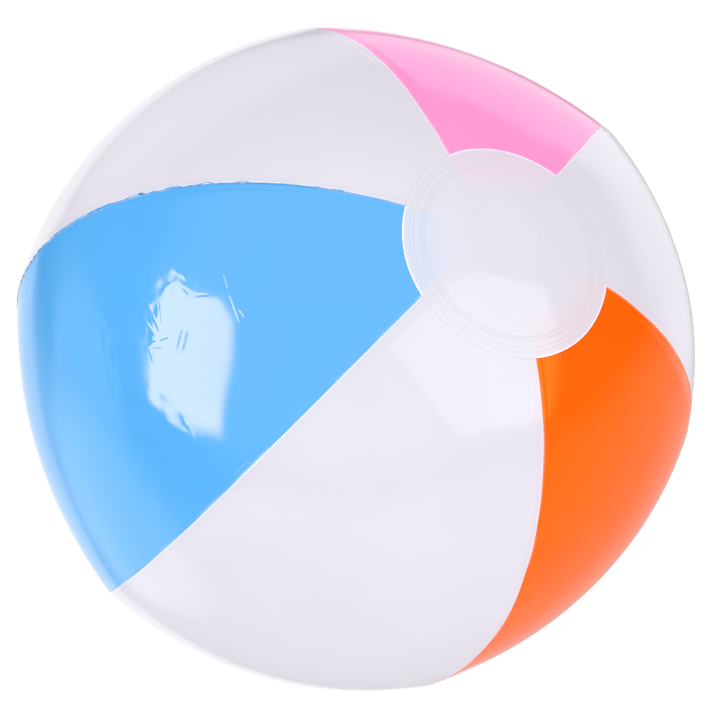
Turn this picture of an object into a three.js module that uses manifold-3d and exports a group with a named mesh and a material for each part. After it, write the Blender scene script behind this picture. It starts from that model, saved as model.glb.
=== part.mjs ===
// Inflatable beach ball: six film panels, two end discs and a push-in valve.
// Millimetres. The ball stands on the origin, +Z runs up through both end discs,
// -Y is the front and the valve faces +Y, on the back panel.

import * as THREE from 'three';
import { mergeVertices } from 'three/addons/utils/BufferGeometryUtils.js';
import Module from 'manifold-3d';

const wasm = await Module();
wasm.setup();

// ---- Driving dimensions ----

// The blown-up skin. Its cross-section bulges less between two seams than at them, and the
// hand-laid seams don't all stand equally far out.
const SEAM_RADIUS = 154;
const POLE_RADIUS = 153.8;
const PROFILE_POWER = 2.07;
const FLAT_RADIUS = 16;

// The film and how its layers lie over each other.
const FILM = 0.2;
const LAYER_GAP = 0.3;
const LAYER_STEP = FILM + LAYER_GAP;
const LAP = 3;
const TIP_RADIUS = 24;
const PANEL_COLUMNS = 8;
const PANEL_ROWS = 28;

// The end discs. The top one sits a little off the axis and is pulled slightly oval: its
// radius grows by stretch at one longitude, in degrees, and shrinks by it at right angles.
const DISC_RADIUS = 47.6;
const TOP_DISC = { centre: new THREE.Vector2(5.4, 3.7), stretch: 1.2, longest: 58 };
const BOTTOM_DISC = { centre: new THREE.Vector2(0, 0), stretch: 0, longest: 0 };
const DISC_RINGS = 6;
const DISC_COLUMNS = 48;

// One entry per panel, in turn round the ball. About its first seam: start is the longitude
// in degrees, swell how far it stands out beyond SEAM_RADIUS, lean how far it passes beside
// the top pole and bow how far it bends sideways halfway between equator and top, in
// millimetres. flatness is how far the panel's middle draws in (0 is round).
const WHITE = { layer: 1, colour: 0xe7e4f0 };
const ORANGE = { layer: 0, colour: 0xff6600 };
const PINK = { layer: 0, colour: 0xffa0da };
const BLUE = { layer: 0, colour: 0x6bbefe };
const PANELS = [
  { name: 'panel_orange', start: -0.9, swell: 0, lean: 1, bow: 3.4, flatness: 0.16, ...ORANGE },
  { name: 'panel_white_back', start: 55.8, swell: 1.4, lean: 0, bow: 7.2, flatness: 0.04, ...WHITE },
  { name: 'panel_pink', start: 117.7, swell: 1, lean: 1, bow: 4.8, flatness: 0.34, ...PINK },
  { name: 'panel_white_left', start: 182.9, swell: -2.5, lean: 8.5, bow: -0.4, flatness: 0.07, ...WHITE },
  { name: 'panel_blue', start: 242.3, swell: 3, lean: 0.9, bow: -5.5, flatness: 0.26, ...BLUE },
  { name: 'panel_white_front', start: 299.9, swell: 0.4, lean: -6, bow: -0.6, flatness: 0.12, ...WHITE },
];
const DISC_LAYER = 2;
const DISC_COLOUR = 0xeeedf6;
const VALVE_COLOUR = 0xf0eff6;
const VALVE_PANEL = 'panel_white_back';

// The valve. Heights are measured outward from the skin's nominal surface.
const VALVE_LONGITUDE = 90;
const VALVE_HOLE_RADIUS = 10.6;
const FLANGE = { inner: 9, outer: 17, top: -1.1, thickness: 0.8 };
const STEM = { radius: 5, bore: 3.5, top: 0.3, bottom: -11, lip: 5.8, lipHeight: 1 };
const WEB = { thickness: 0.7, stemHeight: -7, gap: 0.3 };
const PLUG = { cap: 6.2, bottom: 0.6, top: 1.8, stopperTop: 3.2, stopperEnd: 2.5, end: -4.4 };
const PULL_TAB = { reach: 10.5, width: 5, thickness: 0.7 };
const TETHER = { fold: 8.8, half: 0.3, width: 3, thickness: 0.6, rootTop: 0 };
const FLAP = { radius: 4.4, thickness: 0.5, gap: 0.3, ear: 5.6, earWidth: 4 };
const VALVE_SIDES = 32;

const FLAT_HEIGHT = Math.sqrt(POLE_RADIUS ** 2 - FLAT_RADIUS ** 2);
const GLOSS = 0.2;
const ROUNDING = 1e-9;
const FULL_TURN = 360;
const radians = THREE.MathUtils.degToRad;

// ---- The skin's shape ----

// The panel that a longitude lies on, the next panel, and how far across the longitude is
// from the one's first seam (0) to the other's (1).
function placeOnPanel(longitude) {
  for (const [index, panel] of PANELS.entries()) {
    const next = PANELS[(index + 1) % PANELS.length];
    const width = THREE.MathUtils.euclideanModulo(next.start - panel.start, FULL_TURN);
    const across = THREE.MathUtils.euclideanModulo(longitude - panel.start, FULL_TURN) / width;
    if (across <= 1 + ROUNDING) {
      return { panel, next, across };
    }
  }
  throw new Error('the panels leave a gap');
}

// The skin's horizontal radius at a longitude, at the ball's widest level.
function sideRadius(longitude) {
  const { panel, next, across } = placeOnPanel(longitude);
  const halfPanel = Math.PI / PANELS.length;
  const turn = (2 * across - 1) * halfPanel;
  const round = SEAM_RADIUS + THREE.MathUtils.lerp(panel.swell, next.swell, across);
  return round * (Math.cos(halfPanel) / Math.cos(turn)) ** panel.flatness;
}

// The skin's point in a unit direction, a stated height above the nominal surface.
// It is flattened at both poles, where the ball rests.
function skinPoint(direction, height) {
  const longitude = THREE.MathUtils.radToDeg(Math.atan2(direction.y, direction.x));
  const across = Math.hypot(direction.x, direction.y) / sideRadius(longitude);
  const along = Math.abs(direction.z) / POLE_RADIUS;
  const radius = (across ** PROFILE_POWER + along ** PROFILE_POWER) ** (-1 / PROFILE_POWER);
  const flat = FLAT_HEIGHT + height;
  const point = direction.clone().multiplyScalar(radius + height);
  point.z = THREE.MathUtils.clamp(point.z, -flat, flat);
  return point;
}

// How far a place on a panel is shifted sideways by the lean and bow of its two seams.
function sidewaysShift(polar, longitude) {
  const { panel, next, across } = placeOnPanel(THREE.MathUtils.radToDeg(longitude));
  const lean = THREE.MathUtils.lerp(panel.lean, next.lean, across);
  const bow = THREE.MathUtils.lerp(panel.bow, next.bow, across);
  return lean * Math.max(Math.cos(polar), 0) ** 2 + bow * Math.sin(2 * polar);
}

// The direction of a place on a panel: angle from the top pole and longitude, in radians.
function panelDirection(polar, longitude) {
  const shift = sidewaysShift(polar, longitude) / POLE_RADIUS;
  const x = Math.sin(polar) * Math.cos(longitude) - shift * Math.sin(longitude);
  const y = Math.sin(polar) * Math.sin(longitude) + shift * Math.cos(longitude);
  return new THREE.Vector3(x, y, Math.cos(polar)).normalize();
}

// ---- Film solids ----

// Two triangles for each cell between two rows of corner numbers. A row may be one
// repeated corner, which gives a fan.
function band(first, second) {
  const triangles = [];
  for (let step = 0; step + 1 < first.length; step += 1) {
    triangles.push([first[step], second[step], second[step + 1]]);
    if (first[step] !== first[step + 1]) {
      triangles.push([first[step], second[step + 1], first[step + 1]]);
    }
  }
  return triangles;
}

// Thickens a sheet of directions and triangles into one closed film solid.
function filmGeometry(directions, triangles, layer) {
  const bottom = layer * LAYER_STEP;
  const positions = [];
  for (const height of [bottom + FILM, bottom]) {
    for (const direction of directions) {
      positions.push(...skinPoint(direction, height).toArray());
    }
  }
  const inner = directions.length;
  const edges = new Set();
  const index = [];
  for (const [a, b, c] of triangles) {
    index.push(a, b, c, a + inner, c + inner, b + inner);
    for (const [from, to] of [[a, b], [b, c], [c, a]]) {
      edges.add(`${from} ${to}`);
    }
  }
  for (const edge of edges) {
    const [from, to] = edge.split(' ').map(Number);
    if (!edges.has(`${to} ${from}`)) {
      index.push(to, from, from + inner, to, from + inner, to + inner);
    }
  }
  const geometry = new THREE.BufferGeometry();
  geometry.setAttribute('position', new THREE.Float32BufferAttribute(positions, 3));
  geometry.setIndex(index);
  return geometry;
}

// Longitudes of a panel's grid columns on a row of the given radius. A coloured panel
// reaches one lap past its seams, under its white neighbours.
function columnLongitudes(index, rowRadius) {
  const panel = PANELS[index];
  const lap = LAP / rowRadius;
  const start = radians(panel.start);
  const next = PANELS[(index + 1) % PANELS.length].start;
  const width = radians(THREE.MathUtils.euclideanModulo(next - panel.start, FULL_TURN));
  const longitudes = [];
  for (let column = 0; column <= PANEL_COLUMNS; column += 1) {
    const between = lap + (width - 2 * lap) * (column / PANEL_COLUMNS);
    longitudes.push(start + between);
  }
  const edges = panel.layer === 0 ? [-lap, 0, width, width + lap] : [0, width];
  const before = edges.slice(0, edges.length / 2);
  const after = edges.slice(edges.length / 2);
  return [
    ...before.map((offset) => start + offset),
    ...longitudes,
    ...after.map((offset) => start + offset),
  ];
}

function panelGeometry(index) {
  const tip = Math.asin(TIP_RADIUS / POLE_RADIUS);
  const directions = [];
  const rows = [];
  for (let row = 0; row <= PANEL_ROWS; row += 1) {
    const polar = tip + (Math.PI - 2 * tip) * (row / PANEL_ROWS);
    const longitudes = columnLongitudes(index, SEAM_RADIUS * Math.sin(polar));
    rows.push(longitudes.map((_, column) => directions.length + column));
    directions.push(...longitudes.map((longitude) => panelDirection(polar, longitude)));
  }
  const triangles = rows.slice(1).flatMap((row, above) => band(rows[above], row));
  return filmGeometry(directions, triangles, PANELS[index].layer);
}

// A round cap of film. end is 1 for the top and -1 for the bottom.
function discGeometry(end, { centre, stretch, longest }) {
  const middle = new THREE.Vector3(centre.x, centre.y, end * POLE_RADIUS).normalize();
  const towards = new THREE.Quaternion();
  towards.setFromUnitVectors(new THREE.Vector3(0, 0, end), middle);
  const directions = [middle];
  const rings = [new Array(DISC_COLUMNS + 1).fill(0)];
  for (let ring = 1; ring <= DISC_RINGS; ring += 1) {
    const first = directions.length;
    for (let column = 0; column < DISC_COLUMNS; column += 1) {
      const turn = end * 2 * Math.PI * (column / DISC_COLUMNS);
      const rim = DISC_RADIUS + stretch * Math.cos(2 * (turn - radians(longest)));
      const polar = Math.asin(rim / POLE_RADIUS) * (ring / DISC_RINGS);
      const x = Math.sin(polar) * Math.cos(turn);
      const y = Math.sin(polar) * Math.sin(turn);
      const direction = new THREE.Vector3(x, y, end * Math.cos(polar));
      directions.push(direction.applyQuaternion(towards));
    }
    rings.push([...new Array(DISC_COLUMNS).keys(), 0].map((column) => first + column));
  }
  const triangles = rings.slice(1).flatMap((ring, inside) => band(rings[inside], ring));
  return filmGeometry(directions, triangles, DISC_LAYER);
}

// ---- Joining and cutting ----

function toSolid(geometry) {
  const bare = geometry.clone();
  bare.deleteAttribute('normal');
  bare.deleteAttribute('uv');
  const merged = mergeVertices(bare);
  const vertProperties = merged.attributes.position.array;
  const triVerts = new Uint32Array(merged.index.array);
  return new wasm.Manifold(new wasm.Mesh({ numProp: 3, vertProperties, triVerts }));
}

function toGeometry(solid) {
  const mesh = solid.getMesh();
  const geometry = new THREE.BufferGeometry();
  geometry.setAttribute('position', new THREE.Float32BufferAttribute(mesh.vertProperties, 3));
  geometry.setIndex([...mesh.triVerts]);
  return geometry;
}

function join(...geometries) {
  const solids = geometries.map(toSolid);
  return toGeometry(solids.reduce((whole, solid) => whole.add(solid)));
}

function cut(geometry, tool) {
  return toGeometry(toSolid(geometry).subtract(toSolid(tool)));
}

// ---- Valve pieces, on the valve's own axis (their Y), with the skin at height 0 ----

// Turns a closed outline of [radius, height] corners, listed anticlockwise.
function turned(outline) {
  const corners = [...outline, outline[0]].map(([radius, y]) => new THREE.Vector2(radius, y));
  return new THREE.LatheGeometry(corners, VALVE_SIDES);
}

// A bar along X between two heights, centred on the axis in Z.
function bar(left, right, bottom, top, width) {
  const box = new THREE.BoxGeometry(right - left, top - bottom, width);
  return box.translate((left + right) / 2, (bottom + top) / 2, 0);
}

function flangeGeometry() {
  const { inner, outer, top, thickness } = FLANGE;
  const bottom = top - thickness;
  return turned([[inner, bottom], [outer, bottom], [outer, top], [inner, top]]);
}

// The thin cone between flange and stem that rolls when the stem is pulled out.
function webGeometry() {
  const outside = FLANGE.inner - WEB.gap;
  const inside = STEM.radius + WEB.gap;
  const top = FLANGE.top;
  const end = WEB.stemHeight;
  return turned([
    [outside - WEB.thickness, top],
    [inside, end + WEB.thickness],
    [inside, end],
    [inside + WEB.thickness, end],
    [outside, top - FLANGE.thickness],
    [outside, top],
  ]);
}

function stemGeometry() {
  const { radius, bore, top, bottom, lip, lipHeight } = STEM;
  const tube = turned([
    [bore, bottom],
    [radius, bottom],
    [radius, top - 2 * lipHeight],
    [lip, top - lipHeight],
    [lip, top],
    [bore, top],
  ]);
  const rootEnd = -(TETHER.fold - TETHER.half);
  const rootBottom = TETHER.rootTop - TETHER.thickness;
  const root = bar(rootEnd, -radius, rootBottom, TETHER.rootTop, TETHER.width);
  return join(tube, root);
}

// The stopper, its cap, the pull tab and the tether, which folds over the stem's root tab.
function plugGeometry() {
  const { cap, bottom, top, stopperTop, stopperEnd, end } = PLUG;
  const body = turned([
    [0, end],
    [stopperEnd, end],
    [stopperTop, bottom],
    [cap, bottom],
    [cap, top],
    [0, top],
  ]);
  const tab = bar(stopperTop, PULL_TAB.reach, top - PULL_TAB.thickness, top, PULL_TAB.width);
  const outside = -(TETHER.fold + TETHER.half);
  const strapTop = bottom + TETHER.thickness;
  const strap = bar(outside, -stopperTop, bottom, strapTop, TETHER.width);
  const foldEnd = TETHER.rootTop + TETHER.half;
  const fold = bar(outside, outside + 2 * TETHER.half, foldEnd, strapTop, TETHER.width);
  return join(body, tab, strap, fold);
}

// The round flap under the stem, with the ear it hinges on.
function flapGeometry() {
  const top = STEM.bottom - FLAP.gap;
  const bottom = top - FLAP.thickness;
  const disc = turned([[0, bottom], [FLAP.radius, bottom], [FLAP.radius, top], [0, top]]);
  const ear = bar(-FLAP.ear, 0, bottom, top, FLAP.earWidth);
  return join(disc, ear);
}

// ---- Assembly ----

function piece(name, geometry, colour) {
  const material = new THREE.MeshStandardMaterial({ color: colour, roughness: GLOSS, metalness: 0 });
  const mesh = new THREE.Mesh(geometry, material);
  mesh.name = name;
  return mesh;
}

const valveSeat = sideRadius(VALVE_LONGITUDE);

function panels() {
  const radius = VALVE_HOLE_RADIUS;
  const punch = new THREE.CylinderGeometry(radius, radius, FLANGE.outer, VALVE_SIDES);
  punch.translate(0, valveSeat, 0);
  return PANELS.map(({ name, colour }, index) => {
    const whole = panelGeometry(index);
    const geometry = name === VALVE_PANEL ? cut(whole, punch) : whole;
    return piece(name, geometry, colour);
  });
}

function endDiscs() {
  return [
    piece('end_disc_top', discGeometry(1, TOP_DISC), DISC_COLOUR),
    piece('end_disc_bottom', discGeometry(-1, BOTTOM_DISC), DISC_COLOUR),
  ];
}

function valve() {
  const group = new THREE.Group();
  group.position.set(0, valveSeat, 0);
  group.add(
    piece('valve_flange', flangeGeometry(), VALVE_COLOUR),
    piece('valve_web', webGeometry(), VALVE_COLOUR),
    piece('valve_stem', stemGeometry(), VALVE_COLOUR),
    piece('valve_plug', plugGeometry(), VALVE_COLOUR),
    piece('valve_check_flap', flapGeometry(), VALVE_COLOUR),
  );
  return group;
}

const ball = new THREE.Group();
ball.position.set(0, 0, FLAT_HEIGHT + DISC_LAYER * LAYER_STEP + FILM);
ball.add(...panels(), ...endDiscs(), valve());

export default ball;
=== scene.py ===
"""Looks of an inflatable beach ball: film panels, end discs and a push-in valve.

Lengths in the shape functions are millimetres from the ball's centre. Each mesh is turned
into the frame's metres where it is made.
"""

import math

import bmesh
import bpy
import numpy as np
from mathutils import Matrix, Vector


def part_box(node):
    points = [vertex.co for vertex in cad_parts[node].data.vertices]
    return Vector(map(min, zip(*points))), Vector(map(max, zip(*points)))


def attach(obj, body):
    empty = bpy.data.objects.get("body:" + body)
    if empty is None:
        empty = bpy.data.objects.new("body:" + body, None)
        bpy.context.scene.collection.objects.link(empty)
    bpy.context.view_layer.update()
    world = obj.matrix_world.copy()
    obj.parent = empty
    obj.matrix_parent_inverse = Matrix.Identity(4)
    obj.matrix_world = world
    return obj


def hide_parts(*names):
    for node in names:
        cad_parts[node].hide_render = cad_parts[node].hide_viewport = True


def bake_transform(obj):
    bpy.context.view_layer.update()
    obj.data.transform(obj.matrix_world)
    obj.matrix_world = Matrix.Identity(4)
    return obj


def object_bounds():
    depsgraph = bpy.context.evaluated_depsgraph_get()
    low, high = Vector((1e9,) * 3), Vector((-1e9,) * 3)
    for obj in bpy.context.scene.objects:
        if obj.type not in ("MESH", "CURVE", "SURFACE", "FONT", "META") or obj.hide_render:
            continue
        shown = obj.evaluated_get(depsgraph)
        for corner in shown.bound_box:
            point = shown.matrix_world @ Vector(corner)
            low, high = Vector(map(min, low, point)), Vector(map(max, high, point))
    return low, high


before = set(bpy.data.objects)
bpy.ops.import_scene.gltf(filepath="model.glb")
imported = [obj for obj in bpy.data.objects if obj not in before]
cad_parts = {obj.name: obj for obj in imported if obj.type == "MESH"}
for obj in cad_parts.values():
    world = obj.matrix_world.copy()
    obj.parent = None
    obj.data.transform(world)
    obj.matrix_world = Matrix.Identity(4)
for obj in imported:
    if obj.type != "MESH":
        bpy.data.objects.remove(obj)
cad_low, cad_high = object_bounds()

MM = 0.001
bottom_low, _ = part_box("end_disc_bottom")
_, top_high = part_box("end_disc_top")
CENTRE = Vector((0, 0, (bottom_low.z + top_high.z) / 2))

# ---- The skin's shape ----

# These are the CAD model's own values, as far as LAP.

SEAM_RADIUS = 154.0
POLE_RADIUS = 153.8
PROFILE_POWER = 2.07
FLAT_RADIUS = 16.0
FLAT_HEIGHT = math.sqrt(POLE_RADIUS**2 - FLAT_RADIUS**2)
DISC_RADIUS = 47.6
TOP_DISC_CENTRE = (5.4, 3.7)
# The top disc is slightly oval: its radius grows by this much at one longitude.
TOP_DISC_STRETCH = 1.2
TOP_DISC_LONGEST = math.radians(58)
VALVE_LONGITUDE = math.radians(90)

FILM = 0.2
LAP = 3.0
# The panels' ends are cut a little further out under the discs than in the CAD model.
TIP_RADIUS = 26.5

# Colours are linear RGB.
WHITE = (0.618, 0.596, 0.668)
# Painted highlight: the bright line along the white panels' cut edges and round the end discs' rims
EDGE_HIGHLIGHT = (0.86, 0.84, 0.92)
BLUE = (0.083, 0.370, 0.750)
ORANGE = (0.930, 0.104, 0.0)
PINK = (0.880, 0.268, 0.545)
ORANGE_GLOSS = (1.0, 0.85, 0.05)

# One row per panel, in turn round the ball. About its first seam: the longitude in degrees,
# how far it stands out beyond SEAM_RADIUS, leans past the top pole and bows sideways, in mm.
# Then the flatness of the panel's middle, its colour, and whether it is a coloured one.
# The numbers are fitted ones, not chosen ones.
PANELS = [
    ("panel_orange", -0.9, 0, 1, 3.4, 0.16, ORANGE, True),
    ("panel_white_back", 55.8, 1.4, 0, 7.2, 0.04, WHITE, False),
    ("panel_pink", 117.7, 1, 1, 4.8, 0.34, PINK, True),
    ("panel_white_left", 182.9, -2.5, 8.5, -0.4, 0.07, WHITE, False),
    ("panel_blue", 242.3, 3, 0.9, -5.5, 0.26, BLUE, True),
    ("panel_white_front", 299.9, 0.4, -6, -0.6, 0.12, WHITE, False),
]
NAMES = [panel[0] for panel in PANELS]
COLOURS = [panel[6] for panel in PANELS]
COLOURED = [panel[7] for panel in PANELS]
FLASHED_SEAM = 4
# A colour in the shade of a rim or of a weld ring
SHADE = 0.72
# How strongly a coloured panel's end shows through the end disc over it.
SHOW_THROUGH = {"panel_orange": 0.10, "panel_pink": 0.17, "panel_blue": 0.24}
STARTS, SWELLS, LEANS, BOWS, FLATNESS = np.array([panel[1:6] for panel in PANELS]).T
STARTS = np.radians(STARTS)
EDGES = np.append(STARTS, STARTS[0] + 2 * math.pi)
WIDTHS = np.diff(EDGES)


def place_on_panels(longitude):
    """The number of the panel at each longitude (radians), and how far across it that is."""
    turned = STARTS[0] + np.mod(longitude - STARTS[0], 2 * math.pi)
    place = np.interp(turned, EDGES, np.arange(len(EDGES)))
    number = np.minimum(place.astype(int), len(PANELS) - 1)
    return number, place - number


def blended(seam_values, number, across):
    """A value that every seam has, blended across the panel from one seam to the next."""
    after = np.roll(seam_values, -1)
    return seam_values[number] + (after[number] - seam_values[number]) * across


def side_radius(longitude):
    """The skin's horizontal radius at each longitude, at its widest level."""
    number, across = place_on_panels(longitude)
    half = math.pi / len(PANELS)
    turn = (2 * across - 1) * half
    drawn_in = (math.cos(half) / np.cos(turn)) ** FLATNESS[number]
    return (SEAM_RADIUS + blended(SWELLS, number, across)) * drawn_in


def skin_points(directions, height):
    """Points of the skin in unit directions (N, 3), at a height above the nominal surface."""
    side = side_radius(np.arctan2(directions[:, 1], directions[:, 0]))
    across = np.hypot(directions[:, 0], directions[:, 1]) / side
    along = np.abs(directions[:, 2]) / POLE_RADIUS
    radius = (across**PROFILE_POWER + along**PROFILE_POWER) ** (-1 / PROFILE_POWER)
    points = directions * (radius + height)[:, None]
    flat = FLAT_HEIGHT + height
    points[:, 2] = np.clip(points[:, 2], -flat, flat)
    return points


def sideways_shift(longitude, polar):
    """How far in mm a place on a panel is shifted by the lean and bow of its two seams."""
    number, across = place_on_panels(longitude)
    lean = blended(LEANS, number, across) * np.maximum(np.cos(polar), 0) ** 2
    return lean + blended(BOWS, number, across) * np.sin(2 * polar)


def panel_directions(longitude, polar):
    """Unit directions of panel places."""
    shift = sideways_shift(longitude, polar) / POLE_RADIUS
    directions = np.stack(
        [
            np.sin(polar) * np.cos(longitude) - shift * np.sin(longitude),
            np.sin(polar) * np.sin(longitude) + shift * np.cos(longitude),
            np.cos(polar),
        ],
        axis=1,
    )
    return directions / np.linalg.norm(directions, axis=1)[:, None]


VALVE_SEAT = float(side_radius(np.array([VALVE_LONGITUDE]))[0])

# ---- Camera ----

VIEW_AZIMUTH = math.radians(25.0)
VIEW_ELEVATION = math.radians(58.5)
VIEW_ROLL = math.radians(50.9)
VIEW_DISTANCE = 1.496
LENS = 162.2
AIM_RIGHT = 0.0025
AIM_UP = -0.0012


def view_axes():
    """Right, up and towards-the-camera unit vectors of the main view."""
    back = Vector(
        (
            math.sin(VIEW_AZIMUTH) * math.cos(VIEW_ELEVATION),
            -math.cos(VIEW_AZIMUTH) * math.cos(VIEW_ELEVATION),
            math.sin(VIEW_ELEVATION),
        )
    )
    pole = Vector((0, 0, 1)) - back * back.z
    up = Matrix.Rotation(VIEW_ROLL, 3, back) @ pole.normalized()
    return up.cross(back), up, back


VIEW_RIGHT, VIEW_UP, VIEW_BACK = view_axes()


def add_camera():
    """The camera of the main view."""
    data = bpy.data.cameras.new("camera")
    data.lens = LENS
    data.clip_end = 20
    camera = bpy.data.objects.new("camera", data)
    turn = Matrix((VIEW_RIGHT, VIEW_UP, VIEW_BACK)).transposed()
    aim = CENTRE + AIM_RIGHT * VIEW_RIGHT + AIM_UP * VIEW_UP
    camera.matrix_world = Matrix.Translation(aim + VIEW_DISTANCE * VIEW_BACK) @ turn.to_4x4()
    bpy.context.scene.collection.objects.link(camera)
    bpy.context.scene.camera = camera


# ---- Noise and steps used by the height functions ----


def smooth_step(value, low, high):
    """0 below low, 1 above high and smooth between."""
    t = np.clip((value - low) / (high - low), 0, 1)
    return t * t * (3 - 2 * t)


def bump_line(distance, width):
    """1 on the line, falling to 0 on both sides."""
    return np.exp(-((distance / width) ** 2))


def waves(points, wavelength, seed, count=7):
    """Smooth three-dimensional noise of about unit size: a sum of plane waves."""
    random = np.random.default_rng(seed)
    total = np.zeros(len(points))
    for _ in range(count):
        direction = random.normal(size=3)
        direction /= np.linalg.norm(direction)
        size = wavelength * random.uniform(0.75, 1.35)
        phase = random.uniform(0, 2 * math.pi)
        total += np.sin(points @ direction * (2 * math.pi / size) + phase)
    return total * math.sqrt(2 / count)


def undulation(nominal):
    """The skin's soft unevenness, shared by every layer so that layers stay parallel."""
    return 0.16 * waves(nominal, 95, 1) + 0.035 * waves(nominal, 34, 2)


# ---- Creases left by folding ----

# Each: longitude and polar angle in degrees of both ends, height in mm, half width in mm.
# The ends are traced places, not chosen ones.
CREASES = {
    "panel_blue": [
        (261.4, 59.9, 270.2, 58.3, 0.11, 0.4),
        (265.5, 60.9, 270.2, 59.3, 0.11, 0.38),
        (263.6, 57.4, 268.2, 58.1, -0.08, 0.36),
        (270.6, 61.5, 270.5, 59.3, 0.12, 0.4),
        (270.5, 59.3, 270.9, 57.2, -0.12, 0.38),
        (270.9, 61.5, 273.7, 61.5, 0.11, 0.4),
        (270.9, 61.1, 272.5, 58.0, -0.08, 0.36),
        (269.8, 53.9, 274.2, 57.0, -0.11, 0.36),
        (270.5, 52.9, 275.3, 56.1, 0.11, 0.36),
        (285.3, 60.4, 290.3, 60.9, 0.16, 0.5),
        (262.3, 45.2, 267.1, 44.8, 0.10, 0.45),
        (267.0, 44.9, 275.7, 44.5, 0.07, 0.45),
        (271.7, 44.1, 274.7, 43.4, 0.10, 0.45),
        (262.1, 56.0, 261.3, 53.5, 0.06, 0.45),
        (263.0, 52.6, 265.0, 51.6, -0.06, 0.4),
        (265.7, 50.7, 266.5, 48.4, -0.05, 0.4),
        (259.7, 52.8, 262.2, 51.6, 0.05, 0.45),
        (253.8, 68.1, 258.1, 72.7, 0.05, 1.4),
        (255.5, 62.4, 260.9, 63.7, 0.05, 1.3),
        (263.3, 68.6, 267.0, 68.1, 0.06, 1.1),
        (267.0, 68.1, 276.0, 70.2, 0.08, 1.3),
        (263.7, 70.4, 276.5, 72.0, -0.06, 1.6),
    ],
    "panel_pink": [
        (173.2, 44.9, 155.2, 34.0, 0.05, 2.4),
        (169.0, 37.9, 147.7, 29.6, 0.06, 1.9),
        (163.0, 30.1, 136.5, 21.7, -0.05, 2.2),
    ],
    "panel_orange": [
        (24.8, 28.3, 15.6, 36.4, 0.04, 1.4),
    ],
}
CREASE_BORDERS = (2.4, 1.6, 1.1)

# Softly crumpled places: panel, longitude and polar angle of the middle, radius in mm
CRUMPLES = [
    ("panel_blue", 261, 56, 17),
    ("panel_blue", 264, 67, 18),
    ("panel_blue", 282, 64, 12),
    ("panel_pink", 150, 33, 26),
]
CRUMPLE_HEIGHT = 0.045


def crease_frame(longitude, polar, crease):
    """Distance along (0 to 1) and off a crease (mm), and its length, on the flattened skin."""
    start_longitude, start_polar, end_longitude, end_polar = np.radians(crease[:4])
    scale = SEAM_RADIUS * math.sin((start_polar + end_polar) / 2)
    x = (longitude - start_longitude) * scale
    y = (polar - start_polar) * SEAM_RADIUS
    end_x = (end_longitude - start_longitude) * scale
    end_y = (end_polar - start_polar) * SEAM_RADIUS
    length = math.hypot(end_x, end_y)
    along = (x * end_x + y * end_y) / length**2
    off = (x * end_y - y * end_x) / length
    return along, off, length


def crease_height(name, longitude, polar):
    total = np.zeros_like(longitude)
    for crease in CREASES.get(name, []):
        along, off, _ = crease_frame(longitude, polar, crease)
        height, width = crease[4:]
        taper = smooth_step(along, -0.02, 0.3) * smooth_step(-along, -1.02, -0.7)
        bend = 0.35 * np.sin(along * math.pi)
        total += height * taper * bump_line(off - bend, width)
    return total


def crumple_height(name, longitude, polar, nominal):
    total = np.zeros_like(longitude)
    for panel, middle_longitude, middle_polar, radius in CRUMPLES:
        if panel != name:
            continue
        turn, drop = math.radians(middle_longitude), math.radians(middle_polar)
        x = (longitude - turn) * math.sin(drop) * SEAM_RADIUS
        y = (polar - drop) * SEAM_RADIUS
        total += bump_line(np.hypot(x, y), radius)
    return CRUMPLE_HEIGHT * total * (waves(nominal, 8, 21) + 0.6 * waves(nominal, 4.5, 22))


def near_crease(name):
    """A test for the faces to split, tighter with each round."""

    def chosen(longitude, polar, border):
        near = np.zeros(longitude.shape, bool)
        for crease in CREASES[name]:
            along, off, length = crease_frame(longitude, polar, crease)
            end = border / length
            near |= (along > -end) & (along < 1 + end) & (np.abs(off) < border)
        return near

    return chosen


# ---- Film sheets: places (longitude, polar) and faces, thickened into closed shells ----

PANEL_ROWS = 230
INNER_COLUMNS = 60
SEAM_ZONE = 6.0
SEAM_COLUMNS = 15
LAP_COLUMNS = 4


def disc_rim(around):
    """The top disc's radius in mm at each longitude about its own centre."""
    return DISC_RADIUS + TOP_DISC_STRETCH * np.cos(2 * (around - TOP_DISC_LONGEST))


def disc_distance(points):
    """How far out on the top or bottom disc points are, in mm, with DISC_RADIUS at its rim."""
    top = points[:, 2] > 0
    x = points[:, 0] - top * TOP_DISC_CENTRE[0]
    y = points[:, 1] - top * TOP_DISC_CENTRE[1]
    rim = np.where(top, disc_rim(np.arctan2(y, x)), DISC_RADIUS)
    return np.hypot(x, y) * DISC_RADIUS / rim


def tip_polar(longitude, end):
    """Polar angle at which a panel's end is cut, TIP_RADIUS from that end disc's centre."""
    low = np.full_like(longitude, 0.01)
    high = np.full_like(longitude, 0.6)
    for _ in range(24):
        middle = (low + high) / 2
        polar = middle if end > 0 else math.pi - middle
        distance = disc_distance(skin_points(panel_directions(longitude, polar), 0 * middle))
        outside = distance > TIP_RADIUS
        high = np.where(outside, middle, high)
        low = np.where(outside, low, middle)
    return high if end > 0 else math.pi - high


def column_offsets(width, coloured):
    """A panel's column places in mm from its first seam, on a row of the given width."""
    seam = np.linspace(0, SEAM_ZONE, SEAM_COLUMNS)
    lap = -np.linspace(LAP, LAP / LAP_COLUMNS, LAP_COLUMNS) if coloured else np.zeros(0)
    edge = np.concatenate([lap, seam])
    between = np.linspace(SEAM_ZONE, width - SEAM_ZONE, INNER_COLUMNS + 1)[1:-1]
    return np.concatenate([edge, between, width - edge[::-1]])


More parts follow.
